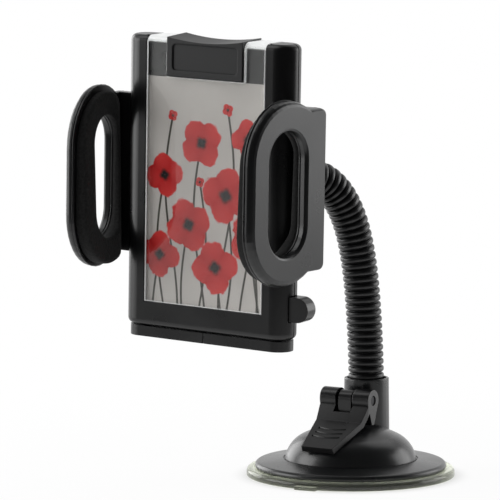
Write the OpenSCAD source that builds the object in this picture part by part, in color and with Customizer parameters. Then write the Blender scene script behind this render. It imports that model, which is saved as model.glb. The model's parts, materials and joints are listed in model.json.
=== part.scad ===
// Car phone mount: a lever-locked suction base, a ribbed gooseneck, a ball joint
// and a flat cradle with a card window, whose two padded arms close on the phone together.
// Millimetres, +Z up. The origin is the centre of the suction cup's lower face.
// The lever and the cradle face -Y, and +X is to the right of someone facing them.

/* [Suction base] */
// Outside diameter of the clear suction cup
cup_d = 85; // [80:1:100]
// Height of the cup's bead at its rim
cup_rim_h = 3; // [2.6:0.1:4]
// Height of the cup where the flange sits on it
cup_t = 2.2; // [1.8:0.1:2.5]
// Height of the hollow under the cup
cup_hollow = 1.1; // [0.6:0.1:1.3]
// Width of the cup's flat contact ring
cup_ring_w = 7; // [4:0.5:10]
// Width of the pull tab on the cup's rim
pull_tab_w = 9; // [6:0.5:14]
// How far the pull tab stands out of the rim
pull_tab_out = 2.6; // [1.5:0.1:5]
// Angle of the pull tab to the right of the front
pull_tab_turn = 6; // [-20:1:20]
// Diameter of the base flange
flange_d = 78; // [70:1:80]
// Height of the flange's round edge
flange_edge = 3.2; // [2.6:0.1:4]
// Diameter of the dome
dome_d = 54; // [50:1:62]
// Height of the dome's crown above the rest plane
dome_top = 20.7; // [19:0.1:22]
// Radius of the dome's crown
crown_r = 45; // [42:1:50]
// Radius of the dome's shoulder
shoulder_r = 13; // [12:0.2:13.4]
// Diameter of the neck tower at its mouth
tower_d = 18.3; // [17.8:0.1:18.8]
// Height of the tower's mouth above the rest plane
tower_top = 38.2; // [34:0.5:42]
// Distance of the tower's axis behind the cup's axis
tower_back = 13; // [12.8:0.1:16]

/* [Lock lever] */
// Width of the lever across its barrels
lever_w = 22.7; // [20:0.1:24]
// Width of the lever at its tip
lever_tip_w = 14; // [11:0.5:18]
// Thickness of the lever's blade
lever_t = 2.5; // [2:0.1:3]
// Diameter of the lever's barrels
barrel_d = 8.8; // [8:0.1:9]
// Diameter of the lever's pin
lever_pin_d = 4; // [3:0.1:5]
// Height of the pin above the rest plane, locked
pin_z = 31; // [30.8:0.1:33]
// Distance of the pin in front of the cup's axis
pin_fwd = 1.4; // [1.2:0.1:2.2]
// Width of the stem's lug between the barrels
lug_w = 6; // [5:0.1:8]
// Distance of the blade's bend in front of the pin
bend_out = 7.6; // [7:0.1:10]
// Height of the blade's bend above the rest plane
bend_z = 21.9; // [21.4:0.1:23]
// Distance of the lever's tip in front of the pin
tip_out = 24.2; // [22:0.1:28]
// Height of the lever's tip above the rest plane
tip_z = 13.9; // [13.4:0.1:17]
// Reach of the locking lobe from the pin
lobe_r = 9.9; // [8.5:0.1:10]
// Number of grip grooves across the lever's tip
grip_count = 3; // [2:1:4]

/* [Gooseneck] */
// Diameter over the ribs
neck_d = 14.6; // [13.6:0.1:14.9]
// Distance from rib to rib
rib_pitch = 2.9; // [2.5:0.1:4]
// Depth of the grooves between the ribs
rib_depth = 1.1; // [0.6:0.1:1.6]
// Diameter of the sleeve's bore
neck_bore = 8.4; // [7:0.1:9.4]
// Height at which the neck starts to curve
curve_z = 24; // [22:0.2:36]
// Length of the curved stretch
curve_len = 110.2; // [100:0.1:130]
// How late the curve tightens, 1 is a plain arc
curve_power = 5.55; // [2:0.05:6]
// Share of the curve that is a plain arc
curve_ease = 0.126; // [0:0.002:1]
// Length of the straight stretch at the upper end
neck_tail = 13.9; // [6:0.1:16]
// Angle between the neck's plane and the lever's plane
neck_turn = 26.7; // [10:0.1:28]

/* [Ball joint] */
// Diameter of the ball
ball_d = 16; // [14:0.2:17]
// Diameter of the ball's neck
stud_d = 6.4; // [5:0.1:6.8]
// Distance from the ball's centre to the ferrule
stud_len = 16.2; // [14.6:0.1:20]
// Thickness of the ball's liners
liner_t = 1.4; // [1:0.1:1.8]
// Diameter of the socket boss on the rear cover
socket_d = 26; // [25:0.2:30]
// Wall of the lock ring round the socket boss
ring_wall = 2.6; // [2.2:0.1:4]
// Number of grip flutes round the lock ring
flute_count = 18; // [12:1:24]

/* [Cradle body] */
// Width of the cradle body
body_w = 76.4; // [74:0.2:80]
// Depth of the cradle body, front to back
body_d = 14.6; // [14.4:0.2:17]
// Height of the cradle body
body_h = 116.5; // [114:0.5:122]
// Wall thickness of the two shells
wall = 2.2; // [1.8:0.1:2.4]
// Width of the window in the front
window_w = 55.2; // [50:0.2:56]
// Height of the rail under the window
rail_h = 9.9; // [8:0.1:12]
// Thickness of the clear cover
cover_t = 2.5; // [2.2:0.1:2.7]
// Thickness of the cover's cap over the body's top
cap_t = 2.5; // [2:0.1:3]
// Width of the black grip at the cover's top
grip_w = 35; // [28:0.5:38]
// Height of the grip's front
grip_h = 16.4; // [14:0.1:20]
// Forward lean of the cradle's top
lean = 1.8; // [-10:0.1:15]
// Sideways roll of the cradle, right side down
roll = 2.2; // [-10:0.1:10]
// Height of the ball above the middle of the cradle
ball_rise = 0; // [-5:0.1:8]
// Height of the swing-out feet
foot_h = 4.2; // [3.6:0.1:6]
// How far the feet stand back from the body's sides
foot_inset = 1.1; // [0.2:0.1:1.5]

/* [Clamp arms] */
// Height of the arm plates
arm_h = 72.4; // [68:0.2:78]
// Height that the arms' straight rear edge stops short at each end
root_step = 4.3; // [3.6:0.1:6]
// Depth of the arm plates, front to back
arm_depth = 46.4; // [43:0.2:50]
// Thickness of an arm's outer shell
arm_skin_t = 3.3; // [3:0.1:3.6]
// Thickness of an arm's inner plate
arm_plate_t = 1.1; // [0.9:0.1:1.5]
// Inward turn of the arms towards the phone
toe_in = 7.3; // [5:0.1:9]
// Width of the hole in each arm
hole_w = 22.4; // [18:0.2:23]
// Height of the hole in each arm
hole_h = 48.8; // [40:0.2:50]
// Thickness of the foam pads at mid height
pad_t = 4.4; // [3:0.1:5]
// How much the pads thicken downwards, for each mm
pad_slope = 0.04; // [0:0.01:0.05]
// Distance of the arms' outer rear edge outside the body's side
arm_out = 10.8; // [10.6:0.1:13]
// Distance of that edge behind the body's parting plane
arm_back = 4.4; // [3:0.1:5]
// Height of the arms' middle above the cradle's middle
arm_rise = 2.2; // [1:0.2:4]
// Thickness of the sliding blades
blade_t = 4; // [3:0.1:4.4]

/* [Rack and release] */
// Gear module of the racks and pinion
gear_module = 1; // [0.9:0.05:1.1]
// Number of teeth on the pinion, a multiple of four
pinion_teeth = 12; // [12:4:12]
// Height of the release button
button_h = 9.9; // [8:0.1:10.4]
// Thickness of the release button
button_t = 6; // [5:0.1:7]
// How far the button stands out of the body's side
button_out = 7.9; // [6:0.1:10]
// Height of the button's middle above the body's lower end
button_up = 12.6; // [12:0.1:13.4]

/* [Clearances] */
// Gap round pieces that slide or swing
slide_gap = 0.3; // [0.2:0.05:0.4]
// Radial gap of a pin in its bore
pin_gap = 0.05; // [0.02:0.01:0.1]
// Gap between the ball, its liners and the socket
ball_gap = 0.15; // [0.1:0.01:0.25]
// Backlash between meshing teeth
backlash = 0.24; // [0.15:0.01:0.35]

/* [Hidden] */
$fn = 64;

black = "#1d1d1f";
satin_black = "#232326";
foam = "#151516";
clear = [0.86, 0.92, 0.88, 0.45];
paper = "#d9d6d2";
steel = "#a9abae";
big = 400;

// Base heights and radii
flange_r = flange_d / 2;
flange_mid = cup_t + flange_edge / 2;
dome_r = dome_d / 2;
dome_foot = cup_t + flange_edge + 1.3;
crown_c = dome_top - crown_r;
shoulder_x = dome_r - shoulder_r;
shoulder_z = crown_c + sqrt(pow(crown_r - shoulder_r, 2) - pow(shoulder_x, 2));
foot_groove = [0.5, 0.4];
tower_flare = 0.4;
tower_bore = neck_d + 1.8;
tower_floor = 16;
tower_rim = 0.45;
stem_disc_r = 9;
stem_disc_z = cup_t + 1.3;
stem_disc_t = 2.3;
stem_depth = barrel_d - 1.4;
stem_y = -pin_fwd;
boss_skin = 1.4;
hollow_r = 21;
pull_tab_t = 1.4;
hollow_top = 12;

// Neck: the centre line is worked out in its own upright plane as [out, up]
seat_z = tower_floor + 4;
rise = curve_z - seat_z;
neck_len = rise + curve_len + neck_tail;
curve_steps = 220;
step_len = curve_len / curve_steps;
function bend_at(s) =
    let (u = s / curve_len)
    90 * (curve_ease * u + (1 - curve_ease) * pow(u, curve_power));
function step_dir(a) = [sin(a), cos(a)];
curve_pts = [
    for (
        i = 0, p = [0, curve_z];
        i <= curve_steps;
        p = p + step_len * step_dir(bend_at((i + 0.5) * step_len)), i = i + 1
    ) p
];
curve_end = curve_pts[curve_steps];
function on_curve(u) =
    let (i = min(floor(u / step_len), curve_steps - 1), f = u / step_len - i)
    curve_pts[i] + f * (curve_pts[i + 1] - curve_pts[i]);
function line_at(s) =
    s <= rise ? [0, seat_z + s] :
    s <= rise + curve_len ? on_curve(s - rise) : curve_end + [s - rise - curve_len, 0];
function angle_at(s) =
    s <= rise ? 0 :
    s <= rise + curve_len ? bend_at(s - rise) : 90;
out_dir = [-sin(neck_turn), -cos(neck_turn), 0];
side_dir = [cos(neck_turn), -sin(neck_turn), 0];
up_dir = [0, 0, 1];
tower_axis = [0, tower_back, 0];
function in_space(p) = tower_axis + p[0] * out_dir + p[1] * up_dir;
function neck_ring(s, r, sides) =
    let (c = in_space(line_at(s)), a = angle_at(s), across = cos(a) * out_dir - sin(a) * up_dir)
    [
        for (k = [0 : sides - 1])
            let (q = 360 * k / sides)
            c + r * (cos(q) * side_dir + sin(q) * across)
    ];
neck_sides = 16;
rib_count = floor(neck_len / rib_pitch);
rib_step = neck_len / rib_count;
rib_top = 0.88;
rib_taper = 0.45;
core_gap = 0.2;
ferrule_floor = 2.3;
ferrule_wall = 1.2;
ferrule_len = min(8, neck_tail - 0.7);
neck_end = in_space(line_at(neck_len));
ball_c = neck_end + (stud_len + ferrule_floor + core_gap) * out_dir;

// Ball joint radii, with the socket's axis along the cradle's own Y
ball_r = ball_d / 2;
liner_in = ball_r + ball_gap;
liner_out = liner_in + liner_t;
socket_in = liner_out + ball_gap;
socket_r = socket_d / 2;
socket_lip = 0.8;
ring_r = socket_r + ball_gap + ring_wall;
ring_rear = 4.2;
ring_front = -7.4;

// Cradle, in its own frame: origin at the ball's centre, front towards -Y, up +Z
rear_y = -(socket_in + ball_gap + 0.6);
mid_y = rear_y - body_d / 2;
front_y = rear_y - body_d;
side_r = body_d / 2;
side_x = body_w / 2 - side_r;
top_z = body_h / 2;
edge_r = 2.5;
cap_recess = cap_t + slide_gap;
cap_len = body_d - 1.6;
parting = [0.6, 0.4];
card_drop = 0.6;
window_x = window_w / 2;
rail_z = rail_h - top_z;
lip_t = 1.4;
lip_w = 1.4;
card_t = 0.35;
floor_front = front_y + cover_t + slide_gap + card_t + 0.1;
floor_t = 1.4;
floor_back = floor_front + floor_t;
shell_back = rear_y - wall - 0.2;
grip_crest = top_z + 0.9;
grip_z = grip_crest - grip_h;
grip_proud = 0.8;
pivot_r = 2;
foot_pin_r = 2;
screw_r = 1.25;
screw_top = top_z - 14.2;
screw_low = 12.2 - top_z;
screw_spots = [[-24, screw_top], [24, screw_top], [-8, screw_low], [8, screw_low]];

// Arms, in the cradle's frame
slot_z = arm_rise;
arm_reach = body_w / 2 + arm_out;
plate_t = arm_skin_t + arm_plate_t;
root_h = arm_h - 2 * root_step;
root_r = 3;
arc_steps = 15;
half_steps = (arc_steps + 1) / 2 - 1;
rear_share = 0.35;
plate_lip = 0.15;
hole_fwd = 0.4;
end_r = arm_depth / 2;
end_flat = arm_h / 2 - end_r;
pad_inset = 1.8;
pad_low = 0.6;
pad_rear = 0.4;
pad_ramp = 7;
pad_most = pad_t + pad_slope * arm_h / 2;
pad_back = slide_gap + (arm_back + blade_t / 2 + (plate_t + pad_most) * sin(toe_in)) / cos(toe_in);
blade_in = 13;
blade_notch = 12;
blade_end = arm_reach - (arm_back + blade_t / 2) * tan(toe_in) - arm_skin_t / cos(toe_in) - 0.1;

// Rack, pinion and release
pitch_r = gear_module * pinion_teeth / 2;
tooth_pitch = PI * gear_module;
tooth_out = 0.8 * gear_module;
tooth_in = 1.05 * gear_module;
pressure = 20;
rack_back = 5.8;
rack_tip = -17.5;
button_z = button_up - top_z;
button_end = body_w / 2 + button_out;
pawl_c = [19, button_z + 6];
pawl_reach = 8;
pawl_hub = 3;
pawl_tail = [5, -10];
tail_r = 1.5;
ratchet_pitch = 2.5;
ratchet_depth = 1.2;
ratchet_z = slot_z - root_h / 2;
nose_h = 3;
nose_z = pawl_c[1] + pawl_tail[1];
nose_end = pawl_c[0] + pawl_tail[0] + tail_r + slide_gap;
flange_x = [side_x + 1.1, side_x + 3.1];
button_travel = 3;
spring_z = button_z + 2.4;
spring_r = 2.3;
spring_wire = 0.6;
spring_post = [24.4, 25.4];
spring_turns = 4;

// Frames that the pieces are drawn in
module in_socket() { translate(ball_c) rotate([lean, roll, 0]) children(); }
module in_cradle() { in_socket() translate([0, 0, -ball_rise]) children(); }
module in_neck_head() { translate(ball_c) rotate([0, 0, -neck_turn]) children(); }
module along_y() { rotate([-90, 0, 0]) children(); }
module facing_front() { rotate([90, 0, 0]) children(); }

// A tube of loops that closes on itself, with flip for loops that run the other way
module ring_skin(loops, flip = false) {
    n = len(loops[0]);
    m = len(loops);
    faces = [
        for (i = [0 : m - 1], j = [0 : n - 1])
            let (a = i * n + j, b = i * n + (j + 1) % n)
            let (c = ((i + 1) % m) * n + (j + 1) % n, d = ((i + 1) % m) * n + j)
            each flip ? [[a, c, b], [a, d, c]] : [[a, b, c], [a, c, d]]
    ];
    polyhedron(points = [for (l = loops) each l], faces = faces);
}

// A solid rod through loops, with flat ends
module rod_skin(loops) {
    n = len(loops[0]);
    m = len(loops);
    last = (m - 1) * n;
    sides = [
        for (i = [0 : m - 2], j = [0 : n - 1])
            let (a = i * n + j, b = i * n + (j + 1) % n)
            let (c = (i + 1) * n + (j + 1) % n, d = (i + 1) * n + j)
            each [[a, c, b], [a, d, c]]
    ];
    ends = [for (j = [1 : n - 2]) each [[0, j, j + 1], [last, last + j + 1, last + j]]];
    polyhedron(points = [for (l = loops) each l], faces = concat(sides, ends));
}

// A coil spring of wire along +Z
module coil(radius, wire, length, turns) {
    per_turn = 12;
    n = turns * per_turn;
    climb = atan2(length - wire, turns * 2 * PI * radius);
    loops = [
        for (i = [0 : n])
            let (a = 360 * i / per_turn, z = wire / 2 + (length - wire) * i / n)
            let (e = [cos(a), sin(a), 0], f = [-sin(a) * -sin(climb), cos(a) * -sin(climb), cos(climb)])
            [for (k = [0 : 5]) radius * e + [0, 0, z] + wire / 2 * (cos(60 * k) * e + sin(60 * k) * f)]
    ];
    rod_skin(loops);
}

// A bar with half-round sides and rounded ends, standing along Z
module pill_profile(r, h, edge) {
    square([2 * r - 2 * edge, h], center = true);
    square([2 * r, h - 2 * edge], center = true);
    for (x = [-1, 1], y = [-1, 1])
        translate([x * (r - edge), y * (h / 2 - edge)]) circle(edge);
}
module pill(r, h, edge) {
    rotate([90, 0, 90])
        linear_extrude(2 * side_x, center = true) pill_profile(r, h, edge);
    for (x = [-1, 1])
        translate([x * side_x, 0, 0])
            rotate_extrude()
                intersection() {
                    pill_profile(r, h, edge);
                    translate([0, -h]) square([r, 2 * h]);
                }
}

// Base
module suction_cup() {
    r = cup_d / 2;
    bead_r = (r - flange_r - slide_gap) / 2;
    color(clear)
    difference() {
        union() {
            rotate_extrude()
                difference() {
                    union() {
                        square([r - bead_r, cup_t]);
                        translate([flange_r + slide_gap, 0]) square([bead_r, cup_rim_h]);
                        translate([r - bead_r, 0]) square([bead_r, cup_rim_h - bead_r]);
                        translate([r - bead_r, cup_rim_h - bead_r]) circle(bead_r);
                        square([stem_disc_r + boss_skin, stem_disc_z + stem_disc_t + boss_skin]);
                    }
                    polygon([[-1, -1], [r - cup_ring_w, -1], [r - cup_ring_w, 0],
                             [r - cup_ring_w - 3, cup_hollow], [-1, cup_hollow]]);
                    translate([-big, -big / 2]) square([big, big]);
                }
            rotate(pull_tab_turn)
                translate([-pull_tab_w / 2, -r - pull_tab_out, 0])
                    cube([pull_tab_w, pull_tab_out + bead_r, pull_tab_t]);
        }
        translate([0, 0, stem_disc_z - pin_gap])
            cylinder(r = stem_disc_r + pin_gap, h = stem_disc_t + 2 * pin_gap);
        translate([0, 0, stem_disc_z + 1])
            cylinder(r = stem_disc_r - 1.6, h = stem_disc_t + boss_skin + 1);
    }
}

module cup_stem() {
    color(black)
    difference() {
        union() {
            translate([0, 0, stem_disc_z]) cylinder(r = stem_disc_r, h = stem_disc_t);
            translate([-lug_w / 2, stem_y - stem_depth / 2, stem_disc_z + 1])
                cube([lug_w, stem_depth, pin_z - stem_disc_z - 1]);
            translate([-lug_w / 2, stem_y, pin_z]) rotate([0, 90, 0]) cylinder(d = stem_depth, h = lug_w);
        }
        translate([-lug_w, stem_y, pin_z]) rotate([0, 90, 0]) cylinder(d = lever_pin_d, h = 2 * lug_w);
    }
}

module base_profile() {
    shoulder = [shoulder_x, shoulder_z];
    crown_dir = (shoulder - [0, crown_c]) / (crown_r - shoulder_r);
    intersection() {
        translate([0, crown_c]) circle(crown_r, $fn = 180);
        union() {
            translate([0, cup_t]) square([dome_r, shoulder_z - cup_t]);
            translate(shoulder) circle(shoulder_r);
            polygon([[0, cup_t], shoulder, shoulder + 2 * shoulder_r * crown_dir, [0, 2 * dome_top]]);
        }
    }
    difference() {
        union() {
            polygon([[0, cup_t], [flange_r - flange_edge / 2, cup_t],
                     [flange_r - flange_edge / 2, cup_t + flange_edge],
                     [dome_r, dome_foot], [0, dome_foot]]);
            translate([flange_r - flange_edge / 2, flange_mid]) circle(flange_edge / 2);
        }
        translate([dome_r, dome_foot - foot_groove[1]]) square(foot_groove);
    }
}

module tower_profile() {
    r = tower_d / 2;
    polygon([[0, cup_t + 1], [r + tower_flare, cup_t + 1], [r + tower_flare, dome_foot],
             [r, tower_top - tower_rim], [0, tower_top - tower_rim]]);
    translate([0, cup_t + 1]) square([r - tower_rim, tower_top - cup_t - 1]);
    translate([r - tower_rim, tower_top - tower_rim]) circle(tower_rim);
}

// The blade's line from the barrel to its bend and its tip, as [Y, Z]
blade_line = [[stem_y - 1.5, pin_z - 1], [stem_y - bend_out, bend_z], [stem_y - tip_out, tip_z]];
function unit(v) = v / norm(v);
function turn_left(v) = [-v[1], v[0]];
module blade_side(grow) {
    half = lever_t / 2 + grow;
    run = unit(blade_line[2] - blade_line[1]);
    n1 = turn_left(unit(blade_line[1] - blade_line[0]));
    n2 = turn_left(run);
    miter = (n1 + n2) / (1 + n1 * n2);
    tip = blade_line[2] + half * run;
    polygon([blade_line[0] + half * n1, blade_line[1] + half * miter, tip + half * n2,
             tip - half * n2, blade_line[1] - half * miter, blade_line[0] - half * n1]);
}

// The lever's outline from above
module lever_plan(grow) {
    wide = lever_w / 2 + grow;
    thin = lever_tip_w / 2 + grow;
    tip = tip_out + lever_t + grow;
    translate([0, stem_y])
        polygon([[-wide, barrel_d], [wide, barrel_d], [wide, -bend_out / 2],
                 [thin, -tip], [-thin, -tip], [-wide, -bend_out / 2]]);
}

module base_housing() {
    well = 0.6;
    color(satin_black)
    difference() {
        union() {
            rotate_extrude()
                intersection() {
                    base_profile();
                    translate([0, cup_t]) square([big, big]);
                }
            translate(tower_axis) rotate_extrude() tower_profile();
        }
        translate([0, 0, cup_t - 1]) cylinder(r = hollow_r, h = hollow_top - cup_t + 1);
        translate([tower_axis[0], tower_axis[1], tower_floor])
            cylinder(d = tower_bore, h = tower_top);
        translate([-lug_w / 2 - slide_gap, stem_y - stem_depth / 2 - slide_gap, 0])
            cube([lug_w + 2 * slide_gap, stem_depth + 2 * slide_gap, big]);
        // Well that the lever's blade lies in
        intersection() {
            translate([-lever_w, 0, 0])
                rotate([90, 0, 90])
                    linear_extrude(2 * lever_w)
                        intersection() {
                            blade_side(well);
                            translate([stem_y - stem_depth / 2 - slide_gap - big, 0]) square([big, big]);
                        }
            linear_extrude(big) lever_plan(well);
        }
    }
}

module lock_lever() {
    groove_r = 0.7;
    smile_r = 24;
    side_gap = 0.9;
    root_cut = lug_w + 2 * side_gap;
    lobe_w = barrel_d / 2 - 0.4;
    slope = atan2(bend_z - tip_z, tip_out - bend_out);
    flat_len = norm([tip_out - bend_out, bend_z - tip_z]);
    notch_z = pin_z - barrel_d / 2 - slide_gap;
    color(black)
    difference() {
        intersection() {
            union() {
                translate([-lever_w / 2, stem_y, pin_z])
                    rotate([0, 90, 0]) cylinder(d = barrel_d, h = lever_w);
                translate([-lever_w / 2, 0, 0])
                    rotate([90, 0, 90]) linear_extrude(lever_w) blade_side(0);
                // Lobes that press on the dome when the lever is down
                translate([-lever_w / 2, stem_y, pin_z])
                    rotate([90, 0, 90])
                        linear_extrude(lever_w)
                            polygon([[-lobe_w, -1.5], [lobe_w, -1.5], [0.9, -lobe_r], [-0.9, -lobe_r]]);
            }
            linear_extrude(big) lever_plan(0);
        }
        translate([-root_cut / 2, stem_y - stem_depth / 2 - slide_gap, 0])
            cube([root_cut, big, big]);
        translate([-root_cut / 2, stem_y - big / 2, notch_z])
            cube([root_cut, big, big]);
        translate([-lever_w, stem_y, pin_z])
            rotate([0, 90, 0]) cylinder(d = lever_pin_d + 2 * pin_gap, h = 2 * lever_w);
        // Curved grip grooves near the tip
        translate([0, stem_y - bend_out, bend_z])
            rotate([slope, 0, 0])
                for (i = [1 : grip_count])
                    translate([0, smile_r - (0.2 + 0.16 * i) * flat_len, lever_t / 2 + 0.3])
                        intersection() {
                            rotate_extrude() translate([smile_r, 0]) circle(groove_r, $fn = 20);
                            translate([-lever_tip_w * 0.45, -2 * smile_r, -1])
                                cube([lever_tip_w * 0.9, 2 * smile_r, 2]);
                        }
    }
}

module lever_pin() {
    color(steel)
    translate([-lever_w / 2 + 0.4, stem_y, pin_z])
        rotate([0, 90, 0]) cylinder(d = lever_pin_d, h = lever_w - 0.8);
}

// Gooseneck
module lower_ferrule() {
    color(steel)
    translate([tower_axis[0], tower_axis[1], tower_floor])
        difference() {
            cylinder(d = neck_d - 0.4, h = seat_z - tower_floor);
            translate([0, 0, 1]) cylinder(d = neck_bore, h = seat_z);
        }
}

module gooseneck_sleeve() {
    crest = neck_d / 2;
    root = crest - rib_depth;
    outer = [
        for (i = [0 : rib_count - 1])
            each [
                neck_ring(i * rib_step, root, neck_sides),
                neck_ring((i + rib_taper) * rib_step, crest, neck_sides),
                neck_ring((i + rib_top) * rib_step, crest, neck_sides)
            ]
    ];
    bore = [for (i = [rib_count : -1 : 0]) neck_ring(i * rib_step, neck_bore / 2, neck_sides)];
    color(satin_black)
    ring_skin(concat(outer, [neck_ring(neck_len, root, neck_sides)], bore), flip = false);
}

module gooseneck_core() {
    from = -(seat_z - tower_floor) + 1 + core_gap;
    rings = ceil(rib_count * 0.8);
    r = neck_bore / 2 - core_gap;
    color(steel)
    rod_skin([
        for (i = [0 : rings])
            let (s = from + (neck_len - from) * i / rings)
            neck_ring(s, r, neck_sides)
    ]);
}

module upper_ferrule() {
    bore = neck_d / 2 + core_gap;
    color(black)
    in_neck_head() along_y()
        difference() {
            rotate_extrude()
                intersection() {
                    translate([0, stud_len + (ferrule_floor + ferrule_len + core_gap) / 2])
                        pill_profile(bore + ferrule_wall, ferrule_floor + ferrule_len + core_gap, 0.8);
                    translate([0, -big / 2]) square([big, big]);
                }
            translate([0, 0, stud_len + ferrule_floor]) cylinder(r = bore, h = big);
            cylinder(r = stud_d / 2 - 0.6, h = big);
        }
}

module ball_stud() {
    color(steel)
    in_neck_head() {
        sphere(d = ball_d);
        along_y() {
            cylinder(d = stud_d, h = stud_len);
            cylinder(r = stud_d / 2 - 0.6 - pin_gap, h = stud_len + ferrule_floor);
        }
    }
}

// Ball joint, with angles counted from the socket's front
module liner(from, to) {
    mid = (from + to) / 2;
    reach = 4 * socket_r;
    facing_front()
        rotate_extrude()
            intersection() {
                difference() {
                    circle(liner_out);
                    circle(liner_in);
                }
                polygon([[0, 0], for (a = [from, mid, to]) reach * [sin(a), cos(a)]]);
            }
}
module ball_liner_front() { color("#4a4a4e") in_socket() liner(0, 58); }
module ball_liner_rear() { color("#4a4a4e") in_socket() liner(93, 113); }

module lock_ring() {
    flute_r = 1.5;
    color(black)
    in_socket() along_y()
        difference() {
            rotate_extrude()
                difference() {
                    translate([socket_in - 3, ring_front])
                        square([ring_r - socket_in + 3, ring_rear - ring_front]);
                    translate([0, ring_front - 1])
                        square([socket_r + ball_gap, socket_lip + slide_gap - ring_front + 1]);
                    circle(socket_in);
                }
            for (i = [0 : flute_count - 1])
                rotate(360 * i / flute_count)
                    translate([ring_r + flute_r * 0.6, 0, ring_front - 1])
                        cylinder(r = flute_r, h = ring_rear - ring_front + 2, $fn = 24);
        }
}

// Cradle body
module body_pill() { translate([0, mid_y, 0]) pill(side_r, body_h, edge_r); }
module body_hollow() {
    intersection() {
        translate([0, mid_y, 0]) pill(side_r - wall, body_h - 2 * wall, 1);
        translate([-big / 2, floor_back, -big / 2])
            cube([big, shell_back - floor_back, big / 2 + top_z - cap_recess - wall]);
    }
}
// Recess across the top for the cover's cap, and the fine groove where the shells meet
module top_recess() {
    translate([-window_x, front_y - 1, top_z - cap_recess]) cube([window_w, body_d + 2, big]);
}
module parting_groove() {
    difference() {
        translate([-big / 2, mid_y - parting[0] / 2, -big / 2]) cube([big, parting[0], big]);
        translate([0, mid_y, 0]) pill(side_r - parting[1], body_h - 2 * parting[1], edge_r);
    }
}
module front_half() { translate([-big / 2, mid_y - big, -big / 2]) cube([big, big, big]); }
module rear_half() { translate([-big / 2, mid_y, -big / 2]) cube([big, big, big]); }

// Slots for the arms' blades and the release button, through both shells
module side_slots() {
    slot = root_h + 2 * slide_gap;
    deep = blade_t + 2 * slide_gap;
    key = button_h + 2 * slide_gap;
    key_t = button_t + 2 * slide_gap;
    translate([-body_w, mid_y - deep / 2, slot_z - slot / 2]) cube([2 * body_w, deep, slot]);
    translate([flange_x[0] - button_travel - slide_gap, mid_y - key_t / 2, button_z - key / 2])
        cube([body_w, key_t, key]);
}

// Posts inside the shells for the screws and the feet's pins
module posts(from, to) {
    for (p = screw_spots)
        translate([p[0], from, p[1]]) along_y() cylinder(r = screw_r + 1.7, h = to - from);
    for (x = [-1, 1])
        translate([x * side_x, mid_y, -top_z + wall / 2])
            cylinder(r = foot_pin_r + 1.6, h = wall / 2 + 1.4);
}
module pin_holes() {
    for (x = [-1, 1])
        translate([x * side_x, mid_y, -top_z - 1]) cylinder(r = foot_pin_r + pin_gap, h = wall + 2.2);
}

module front_frame() {
    color(black)
    in_cradle()
    difference() {
        intersection() {
            front_half();
            union() {
                difference() {
                    body_pill();
                    body_hollow();
                    side_slots();
                }
                intersection() {
                    posts(floor_back - 0.1, mid_y);
                    body_pill();
                }
                // Rib that the button's spring bears on
                translate([spring_post[0], floor_back - 0.1, spring_z - spring_r - 0.8])
                    cube([spring_post[1] - spring_post[0], big, 2 * spring_r + 1.6]);
            }
        }
        // Window, open at the top, with a groove each side and below for the cover
        translate([-window_x, front_y - 1, rail_z])
            cube([window_w, floor_front - front_y + 1, big]);
        translate([-window_x - lip_w, front_y + lip_t, rail_z - lip_w])
            cube([window_w + 2 * lip_w, floor_front - front_y - lip_t, big]);
        for (p = screw_spots)
            translate([p[0], floor_back, p[1]]) along_y() cylinder(r = screw_r, h = big);
        pin_holes();
        top_recess();
        parting_groove();
    }
}

module rear_cover() {
    color(black)
    in_cradle()
    difference() {
        union() {
            intersection() {
                rear_half();
                union() {
                    difference() {
                        body_pill();
                        body_hollow();
                        side_slots();
                    }
                    intersection() {
                        posts(mid_y, shell_back + 0.1);
                        body_pill();
                    }
                }
            }
            translate([0, shell_back + 0.2, ball_rise])
                along_y() cylinder(r = socket_r, h = socket_lip - shell_back - 0.2);
        }
        translate([0, 0, ball_rise]) {
            sphere(socket_in);
            along_y() cylinder(r = socket_in, h = big);
        }
        for (p = screw_spots) {
            translate([p[0], mid_y - 1, p[1]]) along_y() cylinder(r = screw_r + pin_gap, h = big);
            translate([p[0], rear_y - 1.6, p[1]]) along_y() cylinder(r = 2.6, h = big);
        }
        pin_holes();
        top_recess();
        parting_groove();
    }
}

module clear_cover() {
    low = rail_z + slide_gap;
    half = window_x - slide_gap;
    tongue_t = cover_t + 0.1 - lip_t - slide_gap;
    curl = 3.2;
    color(clear)
    in_cradle()
    difference() {
        union() {
            translate([-half, front_y + 0.1, low]) cube([2 * half, cover_t, top_z - low]);
            translate([-half, front_y + 0.1, top_z - cap_t]) cube([2 * half, cap_len, cap_t]);
            translate([-half - lip_w, front_y + lip_t + slide_gap, low - lip_w])
                cube([2 * (half + lip_w), tongue_t, top_z - edge_r - low + lip_w]);
        }
        translate([-grip_w / 2 - slide_gap, front_y - 1, grip_z - slide_gap])
            cube([grip_w + 2 * slide_gap, big, big]);
        // Round the prongs' upper front edge
        translate([-big / 2, 0, 0])
            rotate([90, 0, 90])
                linear_extrude(big)
                    difference() {
                        translate([front_y - 1, top_z - curl]) square([curl + 1.1, curl + 1]);
                        translate([front_y + 0.1 + curl, top_z - curl]) circle(curl);
                    }
    }
}

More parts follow.
